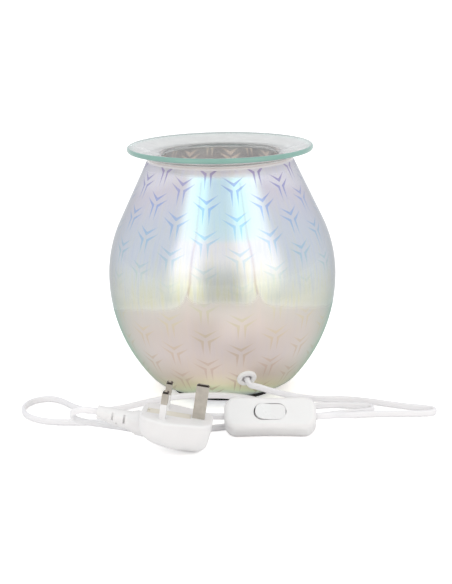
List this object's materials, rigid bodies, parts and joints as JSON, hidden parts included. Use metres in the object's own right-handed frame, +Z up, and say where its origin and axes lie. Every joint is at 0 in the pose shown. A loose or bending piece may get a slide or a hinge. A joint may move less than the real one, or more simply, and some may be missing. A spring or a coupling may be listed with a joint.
{
  "type": "electric oil burner",
  "caption": "Electric oil burner: mirrored iridescent glass jar with a chevron pattern, glass wax dish on top, halogen lamp inside, cord with inline switch and fused plug.",
  "frame": {"origin": "on the table, on the jar's axis, under the middle of the base", "axes": "+Z up along the jar's axis, -Y towards the front, where the cord leaves the jar and the switch and the plug lie, +X to the right seen from the front"},
  "size_m": [0.2885, 0.2418, 0.1774],
  "materials": {
    "jar_glass": "mirrored iridescent glass with a chevron pattern",
    "dish_glass": "clear glass, green at the edge",
    "base_black": "satin black",
    "foam_black": "matte foam",
    "clear_silicone": "satin",
    "white_grommet": "satin",
    "zinc_steel": "zinc plated",
    "white_ceramic": "matt",
    "contact_brass": "plain",
    "dichroic_glass": "coated inside",
    "lamp_glass": "clear",
    "block_plastic": "matt",
    "white_wire": "sleeved",
    "white_cord": "satin, flat twin",
    "white_plastic": "satin gloss",
    "cream_plastic": "satin",
    "nickel_pin": "nickel plated",
    "fuse_white": "with metal caps"
  },
  "bodies": {
    "burner": {"glass_jar": "jar_glass", "cord_grommet": "white_grommet", "base_disc": "base_black", "base_foot_ring": "foam_black", "jar_clamp_ring": "clear_silicone", "jar_clamp_plate": "zinc_steel", "clamp_screws": "zinc_steel", "holder_bracket": "zinc_steel", "bracket_screws": "zinc_steel", "lamp_holder": "white_ceramic", "holder_screws": "zinc_steel", "holder_contacts": "contact_brass", "terminal_block": "block_plastic", "holder_wires": "white_wire", "lamp_lead": "white_cord", "cord_lamp_to_switch": "white_cord", "cord_switch_to_plug": "white_cord", "switch_upper_shell": "white_plastic", "switch_lower_shell": "white_plastic", "switch_terminals": "contact_brass", "switch_wires": "white_wire", "switch_screws": "zinc_steel", "plug_body": "white_plastic", "plug_strain_relief": "white_plastic", "earth_pin": "nickel_pin", "line_pin": "nickel_pin", "neutral_pin": "nickel_pin", "pin_sleeves": "white_plastic", "fuse_clips": "contact_brass"},
    "dish": {"wax_dish": "dish_glass"},
    "lamp": {"halogen_cap": "white_ceramic", "halogen_reflector": "dichroic_glass", "halogen_lens": "lamp_glass", "halogen_capsule": "lamp_glass", "halogen_studs": "nickel_pin"},
    "rocker": {"switch_rocker": "white_plastic", "rocker_contact": "contact_brass"},
    "carrier": {"fuse_carrier": "cream_plastic", "fuse": "fuse_white"}
  },
  "joints": [
    {"name": "dish_lift", "type": "slide", "parent": "burner", "child": "dish", "axis": [0, 0, 1], "range_m": [0, 0.05]},
    {"name": "lamp_twist", "type": "hinge", "parent": "burner", "child": "lamp", "pos_m": [0, 0, 0.0414], "axis": [0, 0, 1], "range_deg": [0, 30]},
    {"name": "rocker_pivot", "type": "hinge", "parent": "burner", "child": "rocker", "pos_m": [0.02956, -0.11658, 0.01624], "axis": [0.0297, 0.6813, 0.7314], "range_deg": [-14, 0]},
    {"name": "carrier_pull", "type": "slide", "parent": "burner", "child": "carrier", "axis": [0.1641, 0.0122, 0.9864], "range_m": [0, 0.014]}
  ]
}
